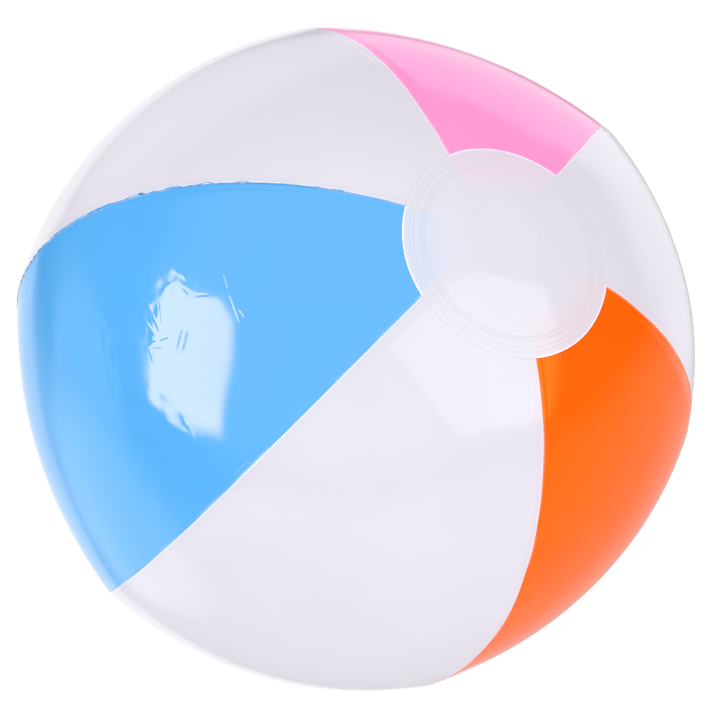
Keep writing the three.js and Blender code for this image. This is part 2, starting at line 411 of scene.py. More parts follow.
def panel_sheet(index):
    """Places and quads of a panel's grid."""
    coloured = COLOURED[index]
    start = STARTS[index]
    columns = len(column_offsets(SEAM_RADIUS, coloured))
    spread = np.linspace(0, 1, columns)
    top = tip_polar(start + spread * WIDTHS[index], 1)
    bottom = tip_polar(start + spread * WIDTHS[index], -1)
    longitude = np.zeros((PANEL_ROWS + 1, columns))
    polar = np.zeros_like(longitude)
    for row in range(PANEL_ROWS + 1):
        polar[row] = top + (bottom - top) * (row / PANEL_ROWS)
        radius = SEAM_RADIUS * np.sin(polar[row].mean())
        offsets = column_offsets(radius * WIDTHS[index], coloured)
        longitude[row] = start + offsets / radius
    number = np.arange(longitude.size).reshape(longitude.shape)
    quads = np.stack(
        [number[:-1, :-1], number[1:, :-1], number[1:, 1:], number[:-1, 1:]], axis=-1
    )
    places = np.stack([longitude.ravel(), polar.ravel()], axis=1)
    return places, quads.reshape(-1, 4).tolist()


def refined(places, faces, chosen, borders):
    """Splits the faces whose middle chosen() picks, once for each border."""
    mesh = bmesh.new()
    corners = [mesh.verts.new((place[0], place[1], 0)) for place in places]
    for face in faces:
        mesh.faces.new([corners[corner] for corner in face])
    for border in borders:
        middles = np.array([face.calc_center_median()[:2] for face in mesh.faces])
        picked = chosen(middles[:, 0], middles[:, 1], border)
        edges = {edge for face, pick in zip(mesh.faces, picked) if pick for edge in face.edges}
        bmesh.ops.subdivide_edges(mesh, edges=list(edges), cuts=1, use_grid_fill=True)
    mesh.verts.index_update()
    new_places = np.array([vertex.co[:2] for vertex in mesh.verts])
    new_faces = [[vertex.index for vertex in face.verts] for face in mesh.faces]
    mesh.free()
    return new_places, new_faces


def shell_mesh(name, outer, inner, faces):
    """A closed shell between two layers of the same sheet, in metres in the frame."""
    count = len(outer)
    points = np.concatenate([outer, inner]) * MM + np.array(CENTRE)
    edges = {}
    for face in faces:
        for first, second in zip(face, face[1:] + face[:1]):
            edges[(first, second)] = True
    polygons = [list(face) for face in faces]
    polygons += [[corner + count for corner in reversed(face)] for face in faces]
    for first, second in edges:
        if (second, first) not in edges:
            polygons.append([second, first, first + count, second + count])
    mesh = bpy.data.meshes.new(name)
    mesh.from_pydata(points.tolist(), [], polygons)
    mesh.validate()
    mesh.shade_smooth()
    return mesh


def add_tint(mesh, tints):
    """Colour attribute: linear RGB laid over a film's colour, and how much of it in alpha: what
    shows through, pale seam strips, darker patches on the flash, painted highlights and painted
    shade.
    """
    layer = mesh.color_attributes.new("tint", "FLOAT_COLOR", "POINT")
    layer.data.foreach_set("color", tints.astype(np.float32).ravel())


def add_object(name, mesh, material):
    piece = bpy.data.objects.new(name, mesh)
    bpy.context.scene.collection.objects.link(piece)
    piece.data.materials.append(material)
    return piece


# ---- Panels ----

SEAM_STEP = 0.26
WELD_LINE = 2.9
WELD_DEPTH = 0.09
WELD_WIDTH = 0.35
PUCKER_HEIGHT = 0.07
HOLE_RADIUS = 10.6
FLANGE_RADIUS = 17.0
FLANGE_TOP = -1.1
FLANGE_CLEARANCE = 0.03
DISH_RADIUS = 27.0
FLANGE_WELDS = (11.4, 12.3, 14.6, 15.5)
VALVE_BORDERS = (21.0, 20.0)
WORN_SHOWN = 0.5
LAP_SHOWN = 0.05
# How strongly the painted highlight is laid on along the white panels' cut edges
EDGE_HIGHLIGHT_SHOWN = 0.55


def seam_distances(index, longitude, polar):
    """Distances in mm into the panel from its first and second seam."""
    radius = SEAM_RADIUS * np.sin(polar)
    first = (longitude - STARTS[index]) * radius
    return first, WIDTHS[index] * radius - first


def puckers(longitude, polar, nominal):
    """Short wrinkles that run off every seam and fade within a few centimetres."""
    total = np.zeros_like(longitude)
    for seam, start in enumerate(STARTS):
        turn = np.mod(longitude - start + math.pi, 2 * math.pi) - math.pi
        distance = np.abs(turn) * SEAM_RADIUS * np.sin(polar)
        total += np.exp(-distance / 9) * waves(nominal, 17, 11 + seam)
    return PUCKER_HEIGHT * total


def valve_distance(points):
    """How far points are from the valve's axis, on its side of the ball."""
    return np.where(points[:, 1] > 0, np.hypot(points[:, 0], points[:, 2]), SEAM_RADIUS)


def seated_height(points, height):
    """Brings the film round the valve down onto the flange, with its weld rings."""
    reach = valve_distance(points)
    curve = np.minimum(reach, FLANGE_RADIUS) ** 2 / (2 * VALVE_SEAT)
    rings = sum(bump_line(reach - ring, 0.3) for ring in FLANGE_WELDS)
    seated = FLANGE_TOP + FLANGE_CLEARANCE + FILM + curve - 0.1 * rings
    loose = smooth_step(reach, FLANGE_RADIUS, DISH_RADIUS)
    return height * loose + seated * (1 - loose)


def panel_height(index, longitude, polar, nominal):
    """Height of the panel's outer face above the nominal skin."""
    name = NAMES[index]
    coloured = COLOURED[index]
    first, second = seam_distances(index, longitude, polar)
    nearest = np.minimum(first, second)
    beyond_disc = smooth_step(disc_distance(nominal), DISC_RADIUS, DISC_RADIUS + 14)
    height = FILM + undulation(nominal) + beyond_disc * puckers(longitude, polar, nominal)
    height -= WELD_DEPTH * bump_line(nearest - WELD_LINE, WELD_WIDTH)
    if coloured:
        height -= SEAM_STEP * smooth_step(-nearest, -0.9, 0.1)
    height += crease_height(name, longitude, polar)
    height += crumple_height(name, longitude, polar, nominal)
    if name == "panel_white_back":
        height = seated_height(nominal, height)
    return height


def seam_tint(index, longitude, polar, nominal):
    """White panels: a painted highlight along the cut edge, then the lap under it. Others: a pale
    worn strip.
    """
    first, second = seam_distances(index, longitude, polar)
    nearest = np.minimum(first, second)
    if COLOURED[index]:
        colour = np.tile(0.45 * np.array(COLOURS[index]) + 0.5, (len(nearest), 1))
        ragged = np.clip(0.4 + 0.5 * waves(nominal, 26, 41), 0, 1)
        amount = WORN_SHOWN * ragged * (1 - smooth_step(nearest, 0.3, 1.1))
        return np.concatenate([colour, amount[:, None]], axis=1)
    before = np.array(COLOURS[index - 1])
    after = np.array(COLOURS[(index + 1) % len(COLOURS)])
    lap = np.where((first < second)[:, None], before, after)
    # A painted highlight along the cut edge
    edge = 1 - smooth_step(nearest, 0.35, 0.8)
    colour = lap + (np.array(EDGE_HIGHLIGHT) - lap) * edge[:, None]
    lap_amount = LAP_SHOWN * (1 - smooth_step(nearest, LAP - 0.6, LAP + 0.4))
    amount = lap_amount + (EDGE_HIGHLIGHT_SHOWN - lap_amount) * edge
    return np.concatenate([colour, amount[:, None]], axis=1)


def cut_valve_hole(places, faces):
    """Opens the round hole: drops the faces inside it."""
    nominal = skin_points(panel_directions(*places.T), np.zeros(len(places)))
    reach = valve_distance(nominal)
    kept = [face for face in faces if reach[face].mean() > HOLE_RADIUS]
    used = np.unique(np.concatenate([np.array(face) for face in kept]))
    number = np.full(len(places), -1)
    number[used] = np.arange(len(used))
    faces = [[int(number[corner]) for corner in face] for face in kept]
    return places[used], faces


def snap_to_hole(points, faces):
    """Moves the hole's edge onto an exact circle about the valve's axis."""
    edges = {(a, b) for face in faces for a, b in zip(face, face[1:] + face[:1])}
    rim = {a for a, b in edges if (b, a) not in edges}
    reach = valve_distance(points)
    rim = np.array([corner for corner in rim if reach[corner] < 2 * HOLE_RADIUS])
    scale = HOLE_RADIUS / reach[rim]
    points[rim, 0] *= scale
    points[rim, 2] *= scale


def near_valve(longitude, polar, border):
    """Whether places are within border mm of the valve."""
    across = (longitude - VALVE_LONGITUDE) * VALVE_SEAT
    along = (polar - math.pi / 2) * VALVE_SEAT
    return np.hypot(across, along) < border


def finish_film(name, mesh, material):
    piece = add_object(name + "_film", mesh, material)
    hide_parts(name)
    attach(piece, "ball")


def make_panel(index, material):
    name = NAMES[index]
    places, faces = panel_sheet(index)
    if name == "panel_blue":
        places, faces = refined(places, faces, near_crease(name), CREASE_BORDERS)
    if name == "panel_white_back":
        places, faces = refined(places, faces, near_valve, VALVE_BORDERS)
        places, faces = cut_valve_hole(places, faces)
    longitude, polar = places.T
    directions = panel_directions(longitude, polar)
    nominal = skin_points(directions, np.zeros(len(places)))
    height = panel_height(index, longitude, polar, nominal)
    outer = skin_points(directions, height)
    inner = skin_points(directions, height - FILM)
    if name == "panel_white_back":
        snap_to_hole(outer, faces)
        snap_to_hole(inner, faces)
    mesh = shell_mesh(name + "_film", outer, inner, faces)
    tints = seam_tint(index, longitude, polar, nominal)
    add_tint(mesh, np.concatenate([tints, tints]))
    finish_film(name, mesh, material)


# ---- The ragged flash squeezed out along one seam ----

BEAD_STEPS = 800
BEAD_SIDES = 8
BEAD_TOP = math.radians(26)
BEAD_BOTTOM = math.radians(112)
BEAD_DARK = (0.012, 0.15, 0.42)


def make_bead(material):
    """A thin lumpy line of film along one seam."""
    polar = np.linspace(BEAD_TOP, BEAD_BOTTOM, BEAD_STEPS)
    longitude = np.full(BEAD_STEPS, STARTS[FLASHED_SEAM])
    directions = panel_directions(longitude, polar)
    nominal = skin_points(directions, np.zeros(BEAD_STEPS))
    middle = smooth_step(polar, math.radians(60), math.radians(48))
    lumps = np.clip(waves(nominal, 3.2, 51), -1, 1.6) + 0.5 * waves(nominal, 11, 52)
    size = np.clip(0.17 + 0.11 * lumps, 0.05, 0.42) * (1 - 0.45 * middle)
    wander = 0.22 * waves(nominal, 6, 53) / (SEAM_RADIUS * np.sin(polar))
    directions = panel_directions(longitude + wander, polar)
    height = FILM + undulation(nominal) + puckers(longitude, polar, nominal)
    centres = skin_points(directions, height)
    tangent = np.gradient(centres, axis=0)
    across = np.cross(tangent, directions)
    across /= np.linalg.norm(across, axis=1)[:, None]
    angles = np.linspace(0, 2 * math.pi, BEAD_SIDES, endpoint=False)
    ring = np.cos(angles)[None, :, None] * across[:, None] * 1.3
    ring = ring + np.sin(angles)[None, :, None] * directions[:, None] * 0.8
    points = centres[:, None] + ring * size[:, None, None]
    number = np.arange(BEAD_STEPS * BEAD_SIDES).reshape(BEAD_STEPS, BEAD_SIDES)
    after = np.roll(number, -1, axis=1)
    quads = np.stack([number[:-1], after[:-1], after[1:], number[1:]], axis=-1)
    polygons = quads.reshape(-1, 4).tolist()
    polygons += [number[0][::-1].tolist(), number[-1].tolist()]
    mesh = bpy.data.meshes.new("seam_flash")
    places = points.reshape(-1, 3) * MM + np.array(CENTRE)
    mesh.from_pydata(places.tolist(), [], polygons)
    mesh.validate()
    mesh.shade_smooth()
    dark = np.clip(0.25 + 0.6 * waves(nominal, 4.2, 54), 0, 1) * (1 - 0.7 * middle)
    colour = np.tile(np.array(BEAD_DARK), (BEAD_STEPS, 1))
    tints = np.repeat(np.concatenate([colour, dark[:, None]], axis=1), BEAD_SIDES, axis=0)
    add_tint(mesh, tints)
    bead = add_object("seam_flash", mesh, material)
    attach(bead, "ball")


# ---- End discs ----

DISC_TURNS = 360
DISC_LIFT = 0.03
RING_WELDS = (2.6, 4.4, 7.2, 8.8)
RING_DEPTH = 0.14
RING_WIDTH = 0.42
RING_SHADE = 0.17
RING_SHADE_WIDTH = 0.4
IMPRINTS = (-2.7, 0, 2.7)
IMPRINT_HEIGHT = 0.045
IMPRINT_WIDTH = 0.35


def disc_radii():
    """Ring radii in mm from the disc's centre: fine near the rim, where the welds are."""
    middle = np.linspace(1.5, DISC_RADIUS - 12, 26)
    rim = np.linspace(DISC_RADIUS - 12, DISC_RADIUS, 49)[1:]
    return np.concatenate([middle, rim])


def disc_sheet(end):
    """Unit directions, ring radii and faces of a disc's polar grid."""
    centre = TOP_DISC_CENTRE if end > 0 else (0, 0)
    middle = Vector((centre[0], centre[1], end * POLE_RADIUS)).normalized()
    turn = np.array(Vector((0, 0, end)).rotation_difference(middle).to_matrix())
    radii = disc_radii()
    angles = end * np.linspace(0, 2 * math.pi, DISC_TURNS, endpoint=False)
    reach, around = np.meshgrid(radii, angles, indexing="ij")
    stretch = disc_rim(around) / DISC_RADIUS if end > 0 else 1
    polar = np.arcsin(reach * stretch / POLE_RADIUS)
    flat = np.stack(
        [np.sin(polar) * np.cos(around), np.sin(polar) * np.sin(around), end * np.cos(polar)],
        axis=-1,
    ).reshape(-1, 3)
    directions = np.concatenate([[np.array(middle)], flat @ turn.T])
    number = 1 + np.arange(len(radii) * DISC_TURNS).reshape(len(radii), DISC_TURNS)
    after = np.roll(number, -1, axis=1)
    quads = np.stack([number[:-1], number[1:], after[1:], after[:-1]], axis=-1)
    faces = quads.reshape(-1, 4).tolist()
    faces += [[0, int(a), int(b)] for a, b in zip(number[0], after[0])]
    reach = np.concatenate([[0], np.repeat(radii, DISC_TURNS)])
    return directions, reach, faces


def sewn_longitude(nominal):
    """Longitude as the panels count it, with the seams' sideways shift taken off."""
    reach = np.hypot(nominal[:, 0], nominal[:, 1])
    plain = np.arctan2(nominal[:, 1], nominal[:, 0])
    polar = np.arctan2(reach, nominal[:, 2])
    longitude = plain
    for _ in range(6):
        shift = sideways_shift(longitude, polar)
        longitude = plain - np.arcsin(np.clip(shift / np.maximum(reach, 1), -0.9, 0.9))
    return longitude, reach


def nearest_seam(nominal):
    """Signed distance in mm to the nearest seam, for places under the end discs."""
    longitude, radius = sewn_longitude(nominal)
    turns = np.mod(longitude[:, None] - STARTS[None, :] + math.pi, 2 * math.pi) - math.pi
    closest = np.abs(turns).argmin(axis=1)
    return turns[np.arange(len(turns)), closest] * radius


def under_disc(nominal, reach):
    """How much a coloured panel end shows through the disc and its colour, with painted rim
    highlight and ring shade.
    """
    longitude, _ = sewn_longitude(nominal)
    colour = np.tile(np.array(EDGE_HIGHLIGHT), (len(nominal), 1))
    amount = np.zeros(len(nominal))
    edge = np.abs(nearest_seam(nominal))
    # The disc's outer half millimetre, where a painted highlight is laid over coloured panels
    rim = smooth_step(reach, DISC_RADIUS - 0.8, DISC_RADIUS - 0.5)
    faded = smooth_step(reach, TIP_RADIUS - 3, TIP_RADIUS + 12)
    number, _ = place_on_panels(longitude)
    for index, name in enumerate(NAMES):
        if not COLOURED[index]:
            continue
        within = number == index
        paler = 0.3 + 0.7 * np.array(COLOURS[index])
        mixed = paler + (np.array(EDGE_HIGHLIGHT) - paler) * rim[:, None]
        inside = smooth_step(edge, -0.5, 2.5)
        through = SHOW_THROUGH[name] * inside * faded
        colour[within] = mixed[within]
        amount[within] = (through + (0.85 - through) * rim)[within]
    # Painted shade along the weld rings
    from_rim = DISC_RADIUS - reach
    line = sum(bump_line(from_rim - ring, RING_SHADE_WIDTH) for ring in RING_WELDS)
    line = RING_SHADE * line
    total = np.maximum(amount + line, 0.001)
    shade = SHADE * np.array(WHITE)
    colour = (colour * amount[:, None] + shade * line[:, None]) / total[:, None]
    return np.concatenate([colour, np.minimum(total, 1)[:, None]], axis=1)


def disc_height(nominal, reach):
    """Height of the disc's outer face above the nominal skin."""
    from_rim = DISC_RADIUS - reach
    height = 2 * FILM + DISC_LIFT + undulation(nominal)
    pressed = smooth_step(-from_rim, -5, -0.2)
    for ring in RING_WELDS:
        height -= RING_DEPTH * (1 - 0.8 * pressed) * bump_line(from_rim - ring, RING_WIDTH)
    seam = nearest_seam(nominal)
    over_panels = smooth_step(reach, TIP_RADIUS, TIP_RADIUS + 4)
    over_panels *= smooth_step(from_rim, 1.0, 3.0)
    for line in IMPRINTS:
        height += IMPRINT_HEIGHT * over_panels * bump_line(seam - line, IMPRINT_WIDTH)
    height -= 0.03 * (1 - smooth_step(reach, TIP_RADIUS - 10, TIP_RADIUS + 6))
    return height - (FILM - DISC_LIFT) * pressed


def make_disc(name, end, material):
    directions, reach, faces = disc_sheet(end)
    nominal = skin_points(directions, np.zeros(len(directions)))
    height = disc_height(nominal, reach)
    outer = skin_points(directions, height)
    inner = skin_points(directions, height - FILM)
    mesh = shell_mesh(name + "_film", outer, inner, faces)
    tints = under_disc(nominal, reach)
    add_tint(mesh, np.concatenate([tints, tints]))
    finish_film(name, mesh, material)


# ---- Valve, on its own axis: height is along +Y from the skin ----

VALVE_SIDES = 96
STEM_BORE = 3.5
STEM_RADIUS = 5.0
STEM_BOTTOM = -11.0
TETHER_FOLD = -8.5
TETHER_WIDTH = 3.0
TETHER_THICKNESS = 0.55
TETHER_LOW = -0.3
TETHER_HIGH = 0.9
TAB_END = 8.0
TAB_RADIUS = 2.5
TAB_BOTTOM = 1.1
TAB_TOP = 1.8
FLAP_TOP = -11.3
FLAP_THICKNESS = 0.5
FLAP_RADIUS = 4.4
PLEATS = 12
PLEAT_DEPTH = 0.022

FLANGE_OUTLINE = [
    (9.0, -1.9), (16.6, -1.9), (17.0, -1.65), (17.0, -1.35), (16.6, -1.1), (9.3, -1.1), (9.0, -1.35),
]
WEB_OUTLINE = [
    (7.9, -1.1), (6.6, -3.2), (5.9, -5.2), (4.9, -6.2), (4.9, -7.0), (5.7, -7.0), (6.6, -5.6),
    (7.3, -3.5), (8.5, -1.9), (9.1, -1.9), (9.1, -1.25),
]
STEM_OUTLINE = [
    (STEM_BORE, STEM_BOTTOM), (4.8, STEM_BOTTOM), (STEM_RADIUS, -10.7), (STEM_RADIUS, -1.9),
    (5.8, -0.9), (5.8, 0.05), (5.6, 0.3), (3.7, 0.3), (STEM_BORE, 0.1),
]
PLUG_OUTLINE = [
    (0, -4.4), (2.2, -4.4), (2.55, -4.0), (3.0, -1.6), (3.3, -1.2), (3.05, -0.8), (3.2, 0.6),
    (5.9, 0.6), (6.2, 0.85), (6.2, 1.5), (5.9, 1.8), (5.1, 1.8), (4.8, 1.4), (1.4, 1.3), (0, 1.3),
]


def valve_point(x, height, z):
    return Vector((x, VALVE_SEAT + height, z)) * MM + CENTRE


def turned(shape, outline, middle_x=0.0):
    """Adds the solid of revolution of a closed [radius, height] outline."""
    rings = []
    for step in range(VALVE_SIDES):
        turn = 2 * math.pi * step / VALVE_SIDES
        across, along = math.cos(turn), math.sin(turn)
        rings.append(
            [
                shape.verts.new(valve_point(middle_x + radius * across, height, radius * along))
                for radius, height in outline
            ]
        )
    for ring, after in zip(rings, rings[1:] + rings[:1]):
        for corner in range(len(outline)):
            following = (corner + 1) % len(outline)
            on_axis = outline[corner][0] == 0 and outline[following][0] == 0
            if not on_axis:
                corners = [ring[corner], ring[following], after[following], after[corner]]
                shape.faces.new(corners)


def puck(shape, radius, bottom, top, middle_x=0.0):
    turned(shape, [(0, bottom), (radius, bottom), (radius, top), (0, top)], middle_x)


def strap(shape, path, width, thickness):
    """Adds a flat strap that follows an [x, height] path."""
    path = [Vector(point) for point in path]
    rings = []
    for index, point in enumerate(path):
        along = path[min(index + 1, len(path) - 1)] - path[max(index - 1, 0)]
        aside = Vector((-along.y, along.x)).normalized() * thickness / 2
        places = (point + aside, point - aside)
        low = [shape.verts.new(valve_point(place.x, place.y, -width / 2)) for place in places]
        high = [shape.verts.new(valve_point(place.x, place.y, width / 2)) for place in places]
        rings.append([low[0], low[1], high[1], high[0]])
    for ring, after in zip(rings, rings[1:]):
        for corner in range(4):
            following = (corner + 1) % 4
            shape.faces.new([ring[corner], ring[following], after[following], after[corner]])
    shape.faces.new(rings[0][::-1])
    shape.faces.new(rings[-1])


def moulded(name, shape, voxel, material):
    """Joins the parts of a shape into one closed piece with the soft edges of moulding."""
    bmesh.ops.remove_doubles(shape, verts=shape.verts, dist=0.0001 * MM)
    bmesh.ops.recalc_face_normals(shape, faces=shape.faces)
    rough = bpy.data.meshes.new(name)
    shape.to_mesh(rough)
    shape.free()
    piece = add_object(name, rough, material)
    remesh = piece.modifiers.new("remesh", "REMESH")
    remesh.mode = "VOXEL"
    remesh.voxel_size = voxel * MM
    remesh.use_smooth_shade = True
    smooth = piece.modifiers.new("smooth", "SMOOTH")
    smooth.iterations = 4
    evaluated = piece.evaluated_get(bpy.context.evaluated_depsgraph_get())
    mesh = bpy.data.meshes.new_from_object(evaluated)
    piece.modifiers.clear()
    piece.data = mesh
    mesh.name = name
    return piece


def pleat(web):
    """Radial folds in the thin cone, strongest half way down."""
    for vertex in web.data.vertices:
        height = (vertex.co.y - CENTRE.y) / MM - VALVE_SEAT
        x = vertex.co.x / MM
        z = (vertex.co.z - CENTRE.z) / MM
        amount = max(0, math.sin(math.pi * (height + 6.4) / 4.6)) if -6.4 < height < -1.8 else 0
        scale = 1 + PLEAT_DEPTH * amount * math.sin(PLEATS * math.atan2(z, x))
        vertex.co.x = x * scale * MM
        vertex.co.z = z * scale * MM + CENTRE.z


def make_valve(material):
    shape = bmesh.new()
    turned(shape, FLANGE_OUTLINE)
    flange = moulded("flange_moulding", shape, 0.22, material)
    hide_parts("valve_flange")
    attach(flange, "ball")

    shape = bmesh.new()
    turned(shape, WEB_OUTLINE)
    web = moulded("web_moulding", shape, 0.18, material)
    pleat(web)
    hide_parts("valve_web")
    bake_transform(web)

    shape = bmesh.new()
    turned(shape, STEM_OUTLINE)
    strap(shape, [(-7.9, TETHER_LOW), (-4.9, TETHER_LOW)], TETHER_WIDTH, 0.6)
    strap(shape, [(-5.3, -10.9), (-4.2, -10.9)], 3.4, 0.6)
    stem = moulded("stem_moulding", shape, 0.16, material)
    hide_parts("valve_stem")
    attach(stem, "stem")

    shape = bmesh.new()
    turned(shape, PLUG_OUTLINE)
    strap(shape, [(4.9, 1.45), (TAB_END, 1.45)], 2 * TAB_RADIUS, TAB_TOP - TAB_BOTTOM)
    puck(shape, TAB_RADIUS, TAB_BOTTOM, TAB_TOP, TAB_END)
    for ridge in (7.0, 8.0, 9.0):
        strap(shape, [(ridge - 0.2, TAB_TOP), (ridge + 0.2, TAB_TOP)], 3.2, 0.4)
    plug = moulded("plug_moulding", shape, 0.14, material)
    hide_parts("valve_plug")
    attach(plug, "plug")

    shape = bmesh.new()
    middle = (TETHER_LOW + TETHER_HIGH) / 2
    radius = (TETHER_HIGH - TETHER_LOW) / 2
    bend = [math.radians(angle) for angle in range(-90, 91, 15)]
    curve = [(TETHER_FOLD - radius * math.cos(a), middle + radius * math.sin(a)) for a in bend]
    path = [(-7.6, TETHER_LOW), *curve, (-7.4, TETHER_HIGH), (-5.7, TETHER_HIGH)]
    strap(shape, path, TETHER_WIDTH, TETHER_THICKNESS)
    tether = moulded("tether_moulding", shape, 0.12, material)
    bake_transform(tether)

    shape = bmesh.new()
    puck(shape, FLAP_RADIUS, FLAP_TOP - FLAP_THICKNESS, FLAP_TOP)
    middle = FLAP_TOP - FLAP_THICKNESS / 2
    strap(shape, [(-5.0, middle), (-1, middle)], 4.0, FLAP_THICKNESS)
    flap = moulded("flap_moulding", shape, 0.12, material)
    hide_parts("valve_check_flap")
    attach(flap, "flap")


# ---- Materials ----


def new_material(name, slot):
    material = bpy.data.materials.new(name)
    material.use_nodes = True
    material["slot"] = slot
    return material, material.node_tree.nodes, material.node_tree.links


def add_noise(nodes, links, coordinates, scale, detail=3.0):
    noise = nodes.new("ShaderNodeTexNoise")
    noise.inputs["Scale"].default_value = scale
    noise.inputs["Detail"].default_value = detail
    links.new(coordinates.outputs["Object"], noise.inputs["Vector"])
    return noise


def add_math(nodes, operation):
    """A math node."""
    node = nodes.new("ShaderNodeMath")
    node.operation = operation
    return node


def add_range(nodes, links, source, low, high):
    """Maps a noise value onto a range."""
    spread = nodes.new("ShaderNodeMapRange")
    spread.inputs["From Min"].default_value = 0.3
    spread.inputs["From Max"].default_value = 0.7
    spread.inputs["To Min"].default_value = low
    spread.inputs["To Max"].default_value = high
    links.new(source, spread.inputs["Value"])
    return spread.outputs["Result"]


def mixed_colours(nodes, links, factor, first, second):
    """A colour mix whose factor and colours are numbers, colours or sockets."""
    mix = nodes.new("ShaderNodeMix")
    mix.data_type = "RGBA"
    for socket, value in zip((mix.inputs[0], mix.inputs[6], mix.inputs[7]), (factor, first, second)):
        if isinstance(value, bpy.types.NodeSocket):
            links.new(value, socket)
        elif isinstance(value, tuple):
            socket.default_value = (*value, 1)
        else:
            socket.default_value = value
    return mix.outputs[2]


def rim_line(nodes, links, coordinates):
    """1 in the thin line where a panel goes in under the top disc's oval rim, where it is painted
    darker.
    """
    oval = TOP_DISC_STRETCH / DISC_RADIUS
    on_disc = nodes.new("ShaderNodeMapping")
    on_disc.vector_type = "TEXTURE"
    centre = (TOP_DISC_CENTRE[0] * MM, TOP_DISC_CENTRE[1] * MM, 0)
    on_disc.inputs["Location"].default_value = centre
    on_disc.inputs["Rotation"].default_value = (0, 0, TOP_DISC_LONGEST)
    on_disc.inputs["Scale"].default_value = (1 + oval, 1 - oval, 1)
    links.new(coordinates.outputs["Object"], on_disc.inputs["Vector"])
    flat = nodes.new("ShaderNodeVectorMath")
    flat.operation = "MULTIPLY"
    flat.inputs[1].default_value = (1, 1, 0)
    links.new(on_disc.outputs["Vector"], flat.inputs[0])
    reach = nodes.new("ShaderNodeVectorMath")
    reach.operation = "LENGTH"
    links.new(flat.outputs["Vector"], reach.inputs[0])
    line = nodes.new("ShaderNodeMapRange")
    line.inputs["From Min"].default_value = (DISC_RADIUS + 0.75) * MM
    line.inputs["From Max"].default_value = (DISC_RADIUS + 0.3) * MM
    links.new(reach.outputs["Value"], line.inputs["Value"])
    return line.outputs["Result"]


def film_material(name, slot, colour, gloss_tint=(1, 1, 1), roughness=0.09):
    """Glossy calendered film: faint cloudiness, fine orange peel, tinted laps."""
    material, nodes, links = new_material(name, slot)
    shader = nodes["Principled BSDF"]
    coordinates = nodes.new("ShaderNodeTexCoord")
    cloud = add_noise(nodes, links, coordinates, 9)
    darker = tuple(channel * 0.965 for channel in colour)
    lighter = tuple(min(channel * 1.025 + 0.004, 1) for channel in colour)
    cloud_share = add_range(nodes, links, cloud.outputs["Fac"], 0, 1)
    base = mixed_colours(nodes, links, cloud_share, darker, lighter)
    # The tint attribute also carries painted highlights and painted shade
    tint = nodes.new("ShaderNodeAttribute")
    tint.attribute_name = "tint"
    if colour != WHITE:
        # A thin line painted darker at the top disc's rim: painted shadow of the disc's edge, along
        # with a darker tint
        shaded = tuple(channel * SHADE for channel in colour)
        line = rim_line(nodes, links, coordinates)
        base = mixed_colours(nodes, links, line, base, shaded)
    tinted = mixed_colours(nodes, links, tint.outputs["Alpha"], base, tint.outputs["Color"])
    links.new(tinted, shader.inputs["Base Color"])
    smear = add_noise(nodes, links, coordinates, 38, 5)
    rough = add_range(nodes, links, smear.outputs["Fac"], roughness * 0.75, roughness * 1.35)
    links.new(rough, shader.inputs["Roughness"])
    peel = add_noise(nodes, links, coordinates, 260, 2)
    bump = nodes.new("ShaderNodeBump")
    bump.inputs["Strength"].default_value = 0.05
    bump.inputs["Distance"].default_value = 0.0004
    links.new(peel.outputs["Fac"], bump.inputs["Height"])
    links.new(bump.outputs["Normal"], shader.inputs["Normal"])
    shader.inputs["IOR"].default_value = 1.53
    shader.inputs["Specular Tint"].default_value = (*gloss_tint, 1)
    return material


def valve_material():
    """Soft clear-white moulded plastic with a fine matt texture."""
    material, nodes, links = new_material("soft_valve", "valve_soft")
    shader = nodes["Principled BSDF"]
    coordinates = nodes.new("ShaderNodeTexCoord")
    flow = add_noise(nodes, links, coordinates, 60)
    share = add_range(nodes, links, flow.outputs["Fac"], 0, 1)
    base = mixed_colours(nodes, links, share, (0.60, 0.59, 0.66), (0.68, 0.67, 0.74))
    links.new(base, shader.inputs["Base Color"])
    rough = add_range(nodes, links, flow.outputs["Fac"], 0.22, 0.34)
    links.new(rough, shader.inputs["Roughness"])
    grain = add_noise(nodes, links, coordinates, 1500, 2)
    bump = nodes.new("ShaderNodeBump")
    bump.inputs["Strength"].default_value = 0.15
    bump.inputs["Distance"].default_value = 0.0002
    links.new(grain.outputs["Fac"], bump.inputs["Height"])
    links.new(bump.outputs["Normal"], shader.inputs["Normal"])
    shader.inputs["Subsurface Weight"].default_value = 0.15
    shader.inputs["Subsurface Scale"].default_value = 0.002
    return material


# ---- Studio ----

EVEN_LIGHT = 1.2
KEY_LIGHT = 0.25
CAMERA_LIGHT = 1.3
FLOOR_SIZE = 6.0
FLOOR_GLOW = 0.25
KEY_DIRECTION = (14, -6)
SOFTBOX_DISTANCE = 1.6

# What reflections see: direction as angles right of and above the line to the camera,
# half angles where it is full and where it has faded, and brightness
SWEEPS = [
    (168, -57, 64, 80, 0.6),
    (-122, -31, 14, 34, 1.25),
    (-165, 0, 20, 31, 1.0),
    (154, 37, 18, 30, 1.05),
    (-3, 17, 40, 74, 0.95),
    (-110, -8, 12, 22, 0.7),
    (-150, 42, 14, 32, 0.65),
    (142, 14, 10, 30, 0.95),
]

# Corners of the softboxes, in the same angles
LEFT_SOFTBOX = [
    (-62, 17), (-54, 14), (-44, 13), (-40, 8), (-42, 1), (-51, -20), (-61, -18), (-76, -10),
    (-73, 0), (-69, 8), (-68, 13),
]
RIGHT_SOFTBOX = [(11, 4), (28, 25), (48, 28), (67, 20), (70, -13), (32, -26)]
SOFT_EDGE = 0.14
LEFT_STRENGTH = 10.0
LEFT_COLOUR = (1.15, 0.72, 0.9)
RIGHT_STRENGTH = 2.0
RIGHT_COLOUR = (1.0, 1.0, 1.0)


